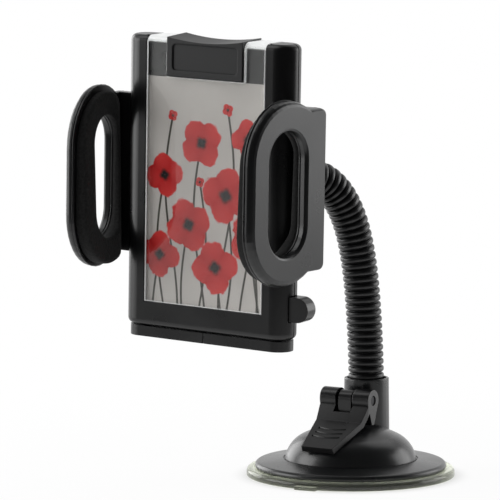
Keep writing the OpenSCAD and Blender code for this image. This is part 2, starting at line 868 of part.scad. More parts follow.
module cover_grip() {
    back = front_y + 0.1 + cover_t;
    scoop = 1.6;
    scoop_r = (pow(grip_w / 2, 2) + pow(scoop, 2)) / (2 * scoop);
    scoop_tilt = 3;
    dish_w = 30;
    dish_h = 10.5;
    color(satin_black)
    in_cradle()
    difference() {
        union() {
            translate([-grip_w / 2, front_y - grip_proud, grip_z])
                cube([grip_w, back - front_y + grip_proud, grip_h]);
            translate([-grip_w / 2, front_y - grip_proud, top_z - cap_t])
                cube([grip_w, cap_len + 0.1 + grip_proud, grip_crest - top_z + cap_t]);
        }
        // Scooped crest, lower at the front
        translate([0, front_y + cap_len, grip_crest - scoop + scoop_r])
            rotate([scoop_tilt, 0, 0])
                translate([0, -big / 2, 0])
                    along_y() cylinder(r = scoop_r, h = big, $fn = 200);
        // Shallow rounded dish in the front
        translate([0, front_y - grip_proud + 0.5, grip_z + grip_h / 2 - 0.4])
            facing_front()
                linear_extrude(big) pill_profile(dish_w / 2, dish_h, 1.6);
    }
}

module display_card() {
    half = window_x + lip_w - slide_gap;
    low = rail_z - lip_w + slide_gap;
    color(paper)
    in_cradle()
    translate([-half, floor_front - card_t, low]) cube([2 * half, card_t, grip_z - card_drop - low]);
}

module case_screws() {
    color(steel)
    in_cradle()
    for (p = screw_spots) {
        translate([p[0], floor_back + 0.4, p[1]])
            along_y() cylinder(r = screw_r - pin_gap, h = rear_y - floor_back - 1.4);
        translate([p[0], rear_y - 1.6, p[1]])
            along_y()
                difference() {
                    cylinder(r = 2.3, h = 1.3);
                    translate([0, 0, 0.6]) cylinder(r = 1.1, h = 2, $fn = 6);
                }
    }
}

// Arms: loops round the plate and round its hole, as [forward, up, inward]
function arc_pts(c, r, from, to, steps = arc_steps) =
    [for (i = [0 : steps]) let (a = from + (to - from) * i / steps) c + r * [cos(a), sin(a)]];
function between(a, b, count) = [for (i = [1 : count]) a + (b - a) * i / (count + 1)];
function plate_loop(inset, t) =
    let (low = root_h / 2 - inset, r = end_r - inset, corner = root_r - inset, up = root_h / 2 - root_r)
    let (lead = 180 - asin((low - end_flat) / r), meet = end_r + r * cos(lead))
    let (flat_pts = concat(
        between([meet, -low], [root_r, -low], half_steps + 1),
        arc_pts([root_r, -up], corner, 270, 180, half_steps),
        arc_pts([root_r, up], corner, 180, 90, half_steps),
        between([root_r, low], [meet, low], half_steps + 1),
        arc_pts([end_r, end_flat], r, lead, 0),
        arc_pts([end_r, -end_flat], r, 0, -lead)
    ))
    [for (p = flat_pts) [p[0], p[1], t]];
function edge_loop(inset, t) =
    let (full = plate_loop(0, t), cut = plate_loop(inset, t))
    [
        for (i = [0 : len(full) - 1])
            let (w = min(1, max(rear_share, full[i][0] / end_r)))
            full[i] + w * (cut[i] - full[i])
    ];
function long_loop(mid, r, flat, t) =
    let (flat_pts = concat(
        arc_pts([mid, -flat], r, 270, 180),
        arc_pts([mid, flat], r, 180, 90),
        arc_pts([mid, flat], r, 90, 0),
        arc_pts([mid, -flat], r, 0, -90)
    ))
    [for (p = flat_pts) [p[0], p[1], t]];
function hole_loop(grow, t) =
    long_loop(end_r + hole_fwd, hole_w / 2 + grow, (hole_h - hole_w) / 2, t);
// Pads thin out towards the body and thicken downwards
function pad_high(q) =
    (pad_t - pad_slope * q[1]) * min(1, pad_rear + (1 - pad_rear) * (q[0] - pad_back) / pad_ramp);
function pad_raise(loop, share) = [for (q = loop) [q[0], q[1], plate_t + share * pad_high(q)]];
function pad_loop(inset, share) =
    let (loop = long_loop(end_r, end_r - pad_inset - inset, end_flat, 0))
    pad_raise([for (q = loop) [max(q[0], pad_back + inset), q[1] - pad_low, 0]], share);

// Puts a plate drawn as [forward, up, inward] at the right side of the cradle
module on_arm() {
    translate([arm_reach, mid_y + arm_back, slot_z])
        rotate([0, 0, 270 - toe_in]) rotate([90, 0, 0]) children();
}
module arm_cover_solid() {
    t = arm_skin_t;
    on_arm()
        ring_skin([
            edge_loop(2.6, 0), edge_loop(1.5, 0.3), edge_loop(0.75, 0.85), edge_loop(0.3, 1.5),
            edge_loop(0.05, 2.2), edge_loop(0, t - 0.3), edge_loop(0.25, t),
            hole_loop(0.3, t), hole_loop(0, t - 0.3), hole_loop(0, 1.2),
            hole_loop(0.45, 0.4), hole_loop(1.2, 0)
        ]);
}
module arm_plate_solid() {
    t = arm_skin_t;
    on_arm()
        ring_skin([
            edge_loop(0.25, t), edge_loop(-plate_lip, t + 0.3),
            edge_loop(-plate_lip, plate_t - 0.3), edge_loop(0.3, plate_t),
            hole_loop(0.4, plate_t), hole_loop(0, plate_t - 0.3),
            hole_loop(0, t + 0.3), hole_loop(0.3, t)
        ]);
}
module arm_pad_solid() {
    on_arm()
        ring_skin([
            pad_loop(0.3, 0), pad_loop(0, 0.25), pad_loop(0.3, 0.8), pad_loop(1.3, 1),
            pad_raise(hole_loop(0.9, 0), 1), pad_raise(hole_loop(0, 0), 0.82),
            pad_raise(hole_loop(0.2, 0), 0)
        ]);
}

// Sliding blade with its rack above (up = 1) or below (up = -1) the pinion
module slider(up) {
    rack_z = slot_z + up * pitch_r;
    back_z = rack_z + up * (tooth_in + rack_back);
    other_z = slot_z - up * (pitch_r + tooth_in / 2 + rack_back / 2);
    first = ceil((rack_tip + 1.2) / tooth_pitch);
    last = floor((blade_in - 1) / tooth_pitch);
    half_tip = tooth_pitch / 4 - backlash / 2 - tooth_out * tan(pressure);
    half_root = tooth_pitch / 4 - backlash / 2 + tooth_in * tan(pressure);
    difference() {
        translate([blade_in, mid_y - blade_t / 2, slot_z - root_h / 2])
            cube([blade_end - blade_in, blade_t, root_h]);
        // Room for the tip of the other arm's rack
        translate([blade_in - 1, mid_y - blade_t, other_z - rack_back])
            cube([blade_notch, 2 * blade_t, 2 * rack_back]);
    }
    translate([rack_tip, mid_y - blade_t / 2, min(rack_z + up * tooth_in, back_z)])
        cube([blade_in + 3 - rack_tip, blade_t, rack_back]);
    translate([0, mid_y + blade_t / 2, 0])
        facing_front()
            linear_extrude(blade_t)
                for (k = [first : last])
                    polygon([
                        [k * tooth_pitch - half_root, rack_z + up * (tooth_in + 0.1)],
                        [k * tooth_pitch - half_tip, rack_z - up * tooth_out],
                        [k * tooth_pitch + half_tip, rack_z - up * tooth_out],
                        [k * tooth_pitch + half_root, rack_z + up * (tooth_in + 0.1)]
                    ]);
}

module right_arm_carrier() {
    color(black)
    in_cradle()
    difference() {
        union() {
            arm_plate_solid();
            slider(1);
        }
        // Saw teeth for the pawl along the blade's lower edge
        translate([0, mid_y + blade_t, 0])
            facing_front()
                linear_extrude(2 * blade_t)
                    for (k = [0 : 5])
                        let (x = blade_in + 0.4 + k * ratchet_pitch, end = x + ratchet_pitch - 0.3)
                        polygon([[x, ratchet_z - 1], [x, ratchet_z + ratchet_depth],
                                 [end, ratchet_z], [end, ratchet_z - 1]]);
    }
}
module left_arm_carrier() {
    color(black)
    in_cradle()
    mirror([1, 0, 0]) {
        arm_plate_solid();
        slider(-1);
    }
}
module right_arm_cover() { color(satin_black) in_cradle() arm_cover_solid(); }
module left_arm_cover() { color(satin_black) in_cradle() mirror([1, 0, 0]) arm_cover_solid(); }
module right_arm_pad() { color(foam) in_cradle() arm_pad_solid(); }
module left_arm_pad() { color(foam) in_cradle() mirror([1, 0, 0]) arm_pad_solid(); }

// Pinion with involute flanks
function inv_deg(r, base) = sqrt(pow(r / base, 2) - 1) * 180 / PI - acos(base / r);
module pinion() {
    base = pitch_r * cos(pressure);
    tip_r = pitch_r + tooth_out;
    root_circle = pitch_r - tooth_in;
    half_at_pitch = 90 / pinion_teeth - backlash / 2 / pitch_r * 180 / PI;
    flank = [
        for (i = [0 : 5])
            let (r = base + (tip_r - base) * i / 5)
            [r, half_at_pitch + inv_deg(pitch_r, base) - inv_deg(r, base)]
    ];
    tooth = concat(
        [[root_circle - 0.4, -flank[0][1]]],
        [for (p = flank) [p[0], -p[1]]],
        [for (i = [5 : -1 : 0]) flank[i]],
        [[root_circle - 0.4, flank[0][1]]]
    );
    color("#d8d4c8")
    in_cradle()
    translate([0, mid_y + blade_t / 2, slot_z])
        facing_front()
            linear_extrude(blade_t)
                difference() {
                    union() {
                        circle(root_circle);
                        for (k = [0 : pinion_teeth - 1])
                            rotate((k + 0.5) * 360 / pinion_teeth)
                                polygon([for (p = tooth) p[0] * [cos(p[1]), sin(p[1])]]);
                    }
                    circle(pivot_r + pin_gap);
                }
}
module pinion_pin() {
    color(steel)
    in_cradle()
    translate([0, floor_back, slot_z]) along_y() cylinder(r = pivot_r, h = shell_back - floor_back);
}
module opening_spring() {
    gap = mid_y + blade_t / 2 + slide_gap;
    color(steel)
    in_cradle()
    translate([0, gap, slot_z]) along_y() coil(pivot_r + 1.6, 0.7, shell_back - gap - slide_gap / 2, 2);
}

// Release button, its spring and the ratchet pawl
module release_button() {
    color(satin_black)
    in_cradle() {
        translate([0, mid_y + button_t / 2, 0])
            facing_front()
                linear_extrude(button_t) {
                    translate([flange_x[0], button_z - button_h / 2])
                        square([button_end - button_h / 2 - flange_x[0], button_h]);
                    translate([button_end - button_h / 2, button_z]) circle(button_h / 2);
                }
        translate([flange_x[0], mid_y - blade_t / 2, button_z - button_h / 2 - 1.2])
            cube([flange_x[1] - flange_x[0], blade_t, button_h + 2.4]);
        translate([nose_end, mid_y - blade_t / 2, nose_z - nose_h / 2])
            cube([flange_x[0] - nose_end + 0.1, blade_t, nose_h]);
    }
}
module button_spring() {
    color(steel)
    in_cradle()
    translate([spring_post[1], mid_y, spring_z])
        rotate([0, 90, 0])
            coil(spring_r - spring_wire / 2, spring_wire, flange_x[0] - spring_post[1], spring_turns);
}
module ratchet_pawl() {
    tip = [pawl_reach, ratchet_z - slide_gap - pawl_c[1]];
    tail = [for (a = [20 : -20 : -200]) pawl_tail + tail_r * [cos(a), sin(a)]];
    color("#d8d4c8")
    in_cradle()
    translate([pawl_c[0], mid_y + blade_t / 2, pawl_c[1]])
        facing_front()
            difference() {
                union() {
                    cylinder(r = pawl_hub, h = blade_t);
                    linear_extrude(blade_t)
                        polygon(concat([[-2, 1.2], tip + [-2, -0.6], tip, tip + [0.8, -3.4], [2.2, 0.4]],
                                       tail, [[-2.2, -1]]));
                }
                translate([0, 0, -1]) cylinder(r = 1.5 + pin_gap, h = blade_t + 2);
            }
}
module pawl_pin() {
    color(steel)
    in_cradle()
    translate([pawl_c[0], floor_back, pawl_c[1]]) along_y() cylinder(r = 1.5, h = shell_back - floor_back);
}

// Feet that swing out forwards under the cradle
module foot_solid() {
    reach = side_x - 0.2;
    foot_r = side_r - foot_inset;
    low = -top_z - slide_gap - foot_h;
    difference() {
        translate([0, mid_y, low])
            linear_extrude(foot_h)
                intersection() {
                    union() {
                        translate([0, -foot_r]) square([side_x, 2 * foot_r]);
                        translate([side_x, 0]) circle(foot_r);
                    }
                    translate([0.2, -big / 2]) square([big, big]);
                    union() {
                        translate([0, -big]) square([big, big]);
                        translate([side_x, 0]) circle(reach);
                    }
                }
        translate([side_x, mid_y, low - 1]) cylinder(r = foot_pin_r + pin_gap, h = big);
        translate([side_x, mid_y, low - 1]) cylinder(r = foot_pin_r + 1.7, h = 2.5);
    }
}
module right_foot() { color(satin_black) in_cradle() foot_solid(); }
module left_foot() { color(satin_black) in_cradle() mirror([1, 0, 0]) foot_solid(); }
module foot_pins() {
    low = -top_z - slide_gap - foot_h;
    color(steel)
    in_cradle()
    for (x = [-1, 1])
        translate([x * side_x, mid_y, low + 0.3]) {
            cylinder(r = foot_pin_r, h = wall + 1 - low - top_z - 0.3);
            cylinder(r = foot_pin_r + 1.4, h = 1);
        }
}

suction_cup();
cup_stem();
base_housing();
lock_lever();
lever_pin();
lower_ferrule();
gooseneck_sleeve();
gooseneck_core();
upper_ferrule();
ball_stud();
ball_liner_front();
ball_liner_rear();
lock_ring();
front_frame();
rear_cover();
clear_cover();
cover_grip();
display_card();
case_screws();
right_arm_carrier();
right_arm_cover();
right_arm_pad();
left_arm_carrier();
left_arm_cover();
left_arm_pad();
pinion();
pinion_pin();
opening_spring();
release_button();
button_spring();
ratchet_pawl();
pawl_pin();
right_foot();
left_foot();
foot_pins();
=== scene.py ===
import json
import math
import bpy
from mathutils import Euler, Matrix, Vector


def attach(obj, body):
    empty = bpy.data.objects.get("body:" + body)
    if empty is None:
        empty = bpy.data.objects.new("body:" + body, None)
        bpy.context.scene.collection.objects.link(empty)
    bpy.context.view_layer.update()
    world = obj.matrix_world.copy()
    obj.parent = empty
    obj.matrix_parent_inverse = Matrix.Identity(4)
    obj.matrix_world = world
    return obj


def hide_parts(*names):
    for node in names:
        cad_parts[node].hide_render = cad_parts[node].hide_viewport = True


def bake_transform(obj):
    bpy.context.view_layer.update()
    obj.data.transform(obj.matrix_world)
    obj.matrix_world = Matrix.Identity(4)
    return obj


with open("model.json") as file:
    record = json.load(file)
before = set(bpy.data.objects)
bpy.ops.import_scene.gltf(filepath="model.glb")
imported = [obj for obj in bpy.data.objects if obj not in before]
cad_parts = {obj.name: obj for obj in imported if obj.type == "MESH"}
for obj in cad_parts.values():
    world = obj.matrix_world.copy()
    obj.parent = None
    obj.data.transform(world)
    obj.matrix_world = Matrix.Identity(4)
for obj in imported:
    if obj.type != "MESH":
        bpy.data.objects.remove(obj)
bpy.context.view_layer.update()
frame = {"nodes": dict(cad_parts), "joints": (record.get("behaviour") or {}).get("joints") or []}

nodes = frame["nodes"]
joints = {j["name"]: j for j in frame["joints"]}
scene = bpy.context.scene
scene.view_settings.view_transform = "Standard"

mm = 0.001
mmPerMetre = 1000

# the cradle's own axes, read from the joints that run along them
ball = Vector(joints["cradle_pan"]["pos_m"])
cradleX = Vector(joints["right_arm_slide"]["axis"])
cradleY = Vector(joints["cradle_turn"]["axis"])
cradleZ = Vector(joints["right_foot_swing"]["axis"])


def inCradle(x, y, z):  # millimetres from the ball along the cradle's axes, to metres in the frame
    return ball + mm * (x * cradleX + y * cradleY + z * cradleZ)


# camera, fitted to the photo
view = {
    "place": (0.7393, -1.2805, 0.2527),  # metres
    "tilt": 83.79, "turn": 31.592,  # degrees
    "lens": 263.63, "sensor": 36.0,  # millimetres
    "nearest": 0.01,
}
lens = bpy.data.cameras.new("mountCamera")
lens.lens = view["lens"]
lens.sensor_width = view["sensor"]
lens.clip_start = view["nearest"]
cameraObject = bpy.data.objects.new("mountCamera", lens)
cameraObject.location = view["place"]
cameraObject.rotation_euler = Euler((math.radians(view["tilt"]), 0, math.radians(view["turn"])))
scene.collection.objects.link(cameraObject)
scene.camera = cameraObject
print("camera set")


def linearColour(code):  # sRGB hex to linear RGBA
    channels = [int(code[i:i + 2], 16) / 255 for i in (1, 3, 5)]
    return [c / 12.92 if c <= 0.04045 else ((c + 0.055) / 1.055) ** 2.4 for c in channels] + [1.0]


def patternScale(sizeMm):  # a texture's scale, from the real size of what it draws
    return mmPerMetre / sizeMm


def addNode(tree, kind, settings=None, links=None):  # a node, its settings and what feeds it
    node = tree.nodes.new(kind)
    for key, value in (settings or {}).items():
        if isinstance(key, str) and hasattr(node, key):
            setattr(node, key, value)
        else:
            node.inputs[key].default_value = value
    for key, source in (links or {}).items():
        tree.links.new(source, node.inputs[key])
    return node


def newMaterial(name):
    made = bpy.data.materials.new(name)
    made.use_nodes = True
    made.node_tree.nodes.clear()
    return made, made.node_tree


noiseSpan = {"From Min": 0.3, "From Max": 0.7}  # where most values of a noise lie
edgeSamples = 4  # rays that round an edge
# painted shade: tight corners and grooves get their reflections dimmed, by how enclosed they are
creviceShadeLook = {"reachMm": 1.2, "samples": 8, "shut": 0.35, "open": 0.9, "shadedLevel": 0.05, "bright": 0.5}


# injection-moulded plastics: a spark-eroded grain, uneven gloss from handling, edges rounded by the mould.
# The grain is drawn some five times its real size, so that it shows
def mouldedPlastic(name, look):
    made, tree = newMaterial(name)
    place = addNode(tree, "ShaderNodeTexCoord")
    grain = addNode(tree, "ShaderNodeTexNoise",
                    {"Scale": patternScale(look["grainMm"]), "Detail": 2.0, "Roughness": 0.6},
                    {"Vector": place.outputs["Object"]})
    clouds = addNode(tree, "ShaderNodeTexNoise",
                     {"Scale": patternScale(look["cloudMm"]), "Detail": 3.0, "Roughness": 0.55},
                     {"Vector": place.outputs["Object"]})
    edge = addNode(tree, "ShaderNodeBevel", {"samples": edgeSamples, "Radius": look["edgeMm"] * mm})
    bump = addNode(tree, "ShaderNodeBump",
                   {"Strength": look["grainStrength"], "Distance": look["grainDepthMm"] * mm},
                   {"Height": grain.outputs["Fac"], "Normal": edge.outputs["Normal"]})
    gloss = addNode(tree, "ShaderNodeMapRange",
                    {**noiseSpan, "To Min": look["rough"] - look["roughSpread"],
                     "To Max": look["rough"] + look["roughSpread"]},
                    {"Value": clouds.outputs["Fac"]})
    tint = addNode(tree, "ShaderNodeMix",
                   {"data_type": "RGBA", "A": linearColour(look["colour"]), "B": linearColour(look["worn"])},
                   {"Factor": clouds.outputs["Fac"]})
    # painted shade: the occlusion dims reflections in corners and grooves
    creviceShade = addNode(tree, "ShaderNodeAmbientOcclusion",
                      {"samples": creviceShadeLook["samples"], "only_local": True,
                       "Distance": creviceShadeLook["reachMm"] * mm})
    shadedSpecular = addNode(tree, "ShaderNodeMapRange",
                    {"From Min": creviceShadeLook["shut"], "From Max": creviceShadeLook["open"],
                     "To Min": creviceShadeLook["shadedLevel"], "To Max": creviceShadeLook["bright"]},
                    {"Value": creviceShade.outputs["AO"]})
    shader = addNode(tree, "ShaderNodeBsdfPrincipled",
                     {"IOR": look["ior"], "Metallic": 0.0},
                     {"Base Color": tint.outputs["Result"], "Roughness": gloss.outputs["Result"],
                      "Specular IOR Level": shadedSpecular.outputs["Result"], "Normal": bump.outputs["Normal"]})
    addNode(tree, "ShaderNodeOutputMaterial", None, {"Surface": shader.outputs["BSDF"]})
    return made


frameAbsLook = {
    "colour": "#070708", "worn": "#0c0c0d", "rough": 0.30, "roughSpread": 0.04, "ior": 1.48,
    "grainMm": 0.9, "grainDepthMm": 0.02, "grainStrength": 0.4, "cloudMm": 26.0, "edgeMm": 0.35,
}
armAbsLook = {
    "colour": "#0b0c0d", "worn": "#111213", "rough": 0.30, "roughSpread": 0.04, "ior": 1.52,
    "grainMm": 0.8, "grainDepthMm": 0.02, "grainStrength": 0.5, "cloudMm": 34.0, "edgeMm": 0.3,
}
baseAbsLook = {
    "colour": "#111213", "worn": "#18191a", "rough": 0.28, "roughSpread": 0.04, "ior": 1.52,
    "grainMm": 0.8, "grainDepthMm": 0.02, "grainStrength": 0.5, "cloudMm": 30.0, "edgeMm": 0.3,
}
sleeveLook = {
    "colour": "#08080a", "worn": "#0f0f10", "rough": 0.36, "roughSpread": 0.05, "ior": 1.50,
    "grainMm": 0.7, "grainDepthMm": 0.02, "grainStrength": 0.4, "cloudMm": 18.0, "edgeMm": 0.2,
}
gripLook = {
    "colour": "#0f1011", "worn": "#151617", "rough": 0.46, "roughSpread": 0.04, "ior": 1.50,
    "grainMm": 0.7, "grainDepthMm": 0.03, "grainStrength": 0.5, "cloudMm": 20.0, "edgeMm": 0.7,
}
acetalLook = {
    "colour": "#b9b5aa", "worn": "#c7c3b8", "rough": 0.40, "roughSpread": 0.05, "ior": 1.48,
    "grainMm": 0.6, "grainDepthMm": 0.01, "grainStrength": 0.4, "cloudMm": 8.0, "edgeMm": 0.15,
}
frameAbs = mouldedPlastic("absMouldedFineGrain", frameAbsLook)  # near-black, soft highlights along its edges
armAbs = mouldedPlastic("absMouldedSatin", armAbsLook)  # a satin skin that mirrors the room as a dull grey
baseAbs = mouldedPlastic("absMouldedSatinBase", baseAbsLook)  # the same skin, a shade greyer and glossier
sleevePlastic = mouldedPlastic("polypropyleneMouldedRibs", sleeveLook)  # a thin highlight on every rib
gripAbs = mouldedPlastic("absMouldedMatt", gripLook)  # a rougher, greyer skin where a thumb pulls
acetal = mouldedPlastic("acetalMouldedNatural", acetalLook)  # waxy off-white


# turned and plated steel: bright, with highlights broken up by tool marks, drawn coarse to show
turnedSteelLook = {
    "colour": "#9a9b9d", "dark": "#7d7e80", "rough": 0.28,
    "markMm": 0.5, "markDepthMm": 0.01, "markStrength": 0.3, "edgeMm": 0.12,
}
turnedSteel, tree = newMaterial("steelTurnedZincPlated")
place = addNode(tree, "ShaderNodeTexCoord")
toolMarks = addNode(tree, "ShaderNodeTexNoise",
                    {"Scale": patternScale(turnedSteelLook["markMm"]), "Detail": 2.0},
                    {"Vector": place.outputs["Object"]})
tint = addNode(tree, "ShaderNodeMix",
               {"data_type": "RGBA", "A": linearColour(turnedSteelLook["colour"]),
                "B": linearColour(turnedSteelLook["dark"])},
               {"Factor": toolMarks.outputs["Fac"]})
edge = addNode(tree, "ShaderNodeBevel", {"samples": edgeSamples, "Radius": turnedSteelLook["edgeMm"] * mm})
bump = addNode(tree, "ShaderNodeBump",
               {"Strength": turnedSteelLook["markStrength"], "Distance": turnedSteelLook["markDepthMm"] * mm},
               {"Height": toolMarks.outputs["Fac"], "Normal": edge.outputs["Normal"]})
shader = addNode(tree, "ShaderNodeBsdfPrincipled", {"Metallic": 1.0, "Roughness": turnedSteelLook["rough"]},
                 {"Base Color": tint.outputs["Result"], "Normal": bump.outputs["Normal"]})
addNode(tree, "ShaderNodeOutputMaterial", None, {"Surface": shader.outputs["BSDF"]})


# blackened steel pin: a thin oxide skin, dark and dull
darkPinLook = {"colour": "#1b1b1d", "worn": "#303033", "metallic": 0.8, "rough": 0.42, "spotMm": 1.2}
darkPin, tree = newMaterial("steelBlackOxide")
place = addNode(tree, "ShaderNodeTexCoord")
spots = addNode(tree, "ShaderNodeTexNoise", {"Scale": patternScale(darkPinLook["spotMm"]), "Detail": 3.0},
                {"Vector": place.outputs["Object"]})
tint = addNode(tree, "ShaderNodeMix",
               {"data_type": "RGBA", "A": linearColour(darkPinLook["colour"]),
                "B": linearColour(darkPinLook["worn"])},
               {"Factor": spots.outputs["Fac"]})
shader = addNode(tree, "ShaderNodeBsdfPrincipled",
                 {"Metallic": darkPinLook["metallic"], "Roughness": darkPinLook["rough"]},
                 {"Base Color": tint.outputs["Result"]})
addNode(tree, "ShaderNodeOutputMaterial", None, {"Surface": shader.outputs["BSDF"]})


# clear plastics: light comes through them, lamps shine on what lies behind, and cut edges can be frosted
# white. On the cover this white frost is partly a painted highlight, standing in for the bright reflections
# along its edges and on its prong tops
cutEdge = {"steep": 0.75, "flat": 0.97}  # cosines to the face: a cut edge below steep, the face above flat


def clearPlastic(name, look):
    made, tree = newMaterial(name)
    place = addNode(tree, "ShaderNodeTexCoord")
    ripple = addNode(tree, "ShaderNodeTexNoise", {"Scale": patternScale(look["rippleMm"]), "Detail": 2.0},
                     {"Vector": place.outputs["Object"]})
    edge = addNode(tree, "ShaderNodeBevel", {"samples": edgeSamples, "Radius": look["edgeMm"] * mm})
    bump = addNode(tree, "ShaderNodeBump",
                   {"Strength": look["rippleStrength"], "Distance": look["rippleDepthMm"] * mm},
                   {"Height": ripple.outputs["Fac"], "Normal": edge.outputs["Normal"]})
    haze = addNode(tree, "ShaderNodeMapRange",
                   {**noiseSpan, "To Min": look["rough"], "To Max": look["rough"] + look["roughSpread"]},
                   {"Value": ripple.outputs["Fac"]})
    glass = addNode(tree, "ShaderNodeBsdfPrincipled",
                    {"Base Color": linearColour(look["colour"]), "IOR": look["ior"],
                     "Transmission Weight": look["clearness"]},
                    {"Roughness": haze.outputs["Result"], "Normal": bump.outputs["Normal"]})
    ownNormal = addNode(tree, "ShaderNodeVectorTransform",
                        {"vector_type": "NORMAL", "convert_from": "WORLD", "convert_to": "OBJECT"},
                        {0: edge.outputs["Normal"]})
    facing = addNode(tree, "ShaderNodeVectorMath", {"operation": "DOT_PRODUCT", 1: look["face"]},
                     {0: ownNormal.outputs[0]})
    flatness = addNode(tree, "ShaderNodeMath", {"operation": "ABSOLUTE"}, {0: facing.outputs["Value"]})
    cut = addNode(tree, "ShaderNodeMapRange",
                  {"interpolation_type": "SMOOTHSTEP", "To Min": look["frostAndHighlight"], "To Max": 0.0,
                   "From Min": cutEdge["steep"], "From Max": cutEdge["flat"]},
                  {"Value": flatness.outputs[0]})
    # partly a painted highlight: a white frost on the cut edges and prong tops stands in for their bright
    # reflections
    frostAndHighlight = addNode(tree, "ShaderNodeBsdfDiffuse", {"Color": linearColour(look["frostHighlightColour"])})
    sawnAndHighlit = addNode(tree, "ShaderNodeMixShader", None,
                   {0: cut.outputs["Result"], 1: glass.outputs["BSDF"], 2: frostAndHighlight.outputs["BSDF"]})
    unbent = addNode(tree, "ShaderNodeBsdfTransparent", {"Color": linearColour(look["colour"])})
    rays = addNode(tree, "ShaderNodeLightPath")
    through = addNode(tree, "ShaderNodeMath", {"operation": "MAXIMUM", 1: look["seeThrough"]},
                      {0: rays.outputs["Is Shadow Ray"]})
    both = addNode(tree, "ShaderNodeMixShader", None,
                   {0: through.outputs[0], 1: sawnAndHighlit.outputs["Shader"], 2: unbent.outputs["BSDF"]})
    addNode(tree, "ShaderNodeOutputMaterial", None, {"Surface": both.outputs["Shader"]})
    return made


cupVinylLook = {
    "colour": "#f0f3e6", "ior": 1.50, "clearness": 0.95, "seeThrough": 0.2,
    "rough": 0.06, "roughSpread": 0.05, "rippleMm": 14.0, "rippleDepthMm": 0.03, "rippleStrength": 0.1,
    "edgeMm": 0.4, "face": (0.0, 0.0, 1.0), "frostAndHighlight": 0.0, "frostHighlightColour": "#ffffff",
}
coverAcrylicLook = {
    "colour": "#fbfcfb", "ior": 1.49, "clearness": 1.0, "seeThrough": 0.0,
    "rough": 0.01, "roughSpread": 0.02, "rippleMm": 30.0, "rippleDepthMm": 0.02, "rippleStrength": 0.15,
    "edgeMm": 1.0, "face": cradleY, "frostAndHighlight": 0.9, "frostHighlightColour": "#fdfefe",
}
cupVinyl = clearPlastic("vinylMouldedClear", cupVinylLook)  # a little milky, yellow-green in its thickness
coverAcrylic = clearPlastic("acrylicCutClear", coverAcrylicLook)  # water-clear; its cut edges frosted white, partly a painted highlight


# closed-cell foam: sliced, so its face is matt with cut cells all over, drawn twice their size to show
foamLook = {
    "colour": "#020202", "cell": "#171717", "cellMm": 1.1, "cellDepthMm": 0.16, "cellStrength": 0.7,
    "rough": 0.92, "ior": 1.35, "sheen": 0.03, "sheenRough": 0.6,
}
padFoam, tree = newMaterial("evaFoamSliced")
place = addNode(tree, "ShaderNodeTexCoord")
cells = addNode(tree, "ShaderNodeTexVoronoi", {"Scale": patternScale(foamLook["cellMm"]), "Randomness": 1.0},
                {"Vector": place.outputs["Object"]})
tint = addNode(tree, "ShaderNodeMix",
               {"data_type": "RGBA", "A": linearColour(foamLook["colour"]),
                "B": linearColour(foamLook["cell"])},
               {"Factor": cells.outputs["Distance"]})
bump = addNode(tree, "ShaderNodeBump",
               {"Strength": foamLook["cellStrength"], "Distance": foamLook["cellDepthMm"] * mm},
               {"Height": cells.outputs["Distance"]})
shader = addNode(tree, "ShaderNodeBsdfPrincipled",
                 {"Roughness": foamLook["rough"], "IOR": foamLook["ior"],
                  "Sheen Weight": foamLook["sheen"], "Sheen Roughness": foamLook["sheenRough"]},
                 {"Base Color": tint.outputs["Result"], "Normal": bump.outputs["Normal"]})
addNode(tree, "ShaderNodeOutputMaterial", None, {"Surface": shader.outputs["BSDF"]})
print("plastics, steel, foam and clear materials made")


# offset-printed card: matt paper with soft ink edges. Poppies on a pale ground, laid out in millimetres.
# The paper's fibres are drawn coarser than they are, to show
cardLook = {
    "ground": "#bcb7b4", "groundDeep": "#a39e9b", "washMm": 22.0,
    "petal": "#a31416", "petalEdge": "#bc2f2d", "heart": "#120c0d", "stem": "#3a3833",
    "rough": 0.62, "gloss": 0.15, "ior": 1.5, "fibreMm": 0.5, "fibreDepthMm": 0.02, "fibreStrength": 0.2,
    "poppies": [  # across, up, radius, turn in radians
        (-2.5, 17.0, 10.0, 0.3), (19.0, 20.0, 8.0, 1.4), (-19.5, 3.0, 9.0, 1.1), (9.0, -3.0, 11.5, 2.0),
        (-8.0, -16.0, 11.0, 0.7), (21.0, -19.0, 10.5, 0.2), (-21.5, -29.0, 9.5, 1.7), (4.5, -32.0, 11.0, 1.2),
    ],
    "buds": [(-16.0, 27.0, 2.4), (9.5, 31.0, 2.6), (25.0, 3.5, 2.3), (-3.0, 1.5, 2.2)], "budTurn": 0.5,
    "bow": 3.2, "bowLong": 52.0, "stemWide": 0.55,
    "stemFull": 0.6, "stemGone": 1.1,  # shares of the stem's width
    "petalLeast": 0.57, "lobe": 0.26, "ruffle": 0.35, "ruffleMm": 4.0,  # shares of the radius
    "petalFull": 0.94, "heartFull": 0.16, "heartGone": 0.34,  # shares of the way out to the petal's edge
}
printedCard, tree = newMaterial("cardOffsetPrinted")
place = addNode(tree, "ShaderNodeTexCoord")
middle = ball * mmPerMetre
across = addNode(tree, "ShaderNodeVectorMath", {"operation": "DOT_PRODUCT", 1: cradleX * mmPerMetre},
                 {0: place.outputs["Object"]})
upward = addNode(tree, "ShaderNodeVectorMath", {"operation": "DOT_PRODUCT", 1: cradleZ * mmPerMetre},
                 {0: place.outputs["Object"]})
cardX = addNode(tree, "ShaderNodeMath", {"operation": "SUBTRACT", 1: middle.dot(cradleX)},
                {0: across.outputs["Value"]})
cardZ = addNode(tree, "ShaderNodeMath", {"operation": "SUBTRACT", 1: middle.dot(cradleZ)},
                {0: upward.outputs["Value"]})
wash = addNode(tree, "ShaderNodeTexNoise",
               {"Scale": patternScale(cardLook["washMm"]), "Detail": 4.0, "Roughness": 0.6},
               {"Vector": place.outputs["Object"]})
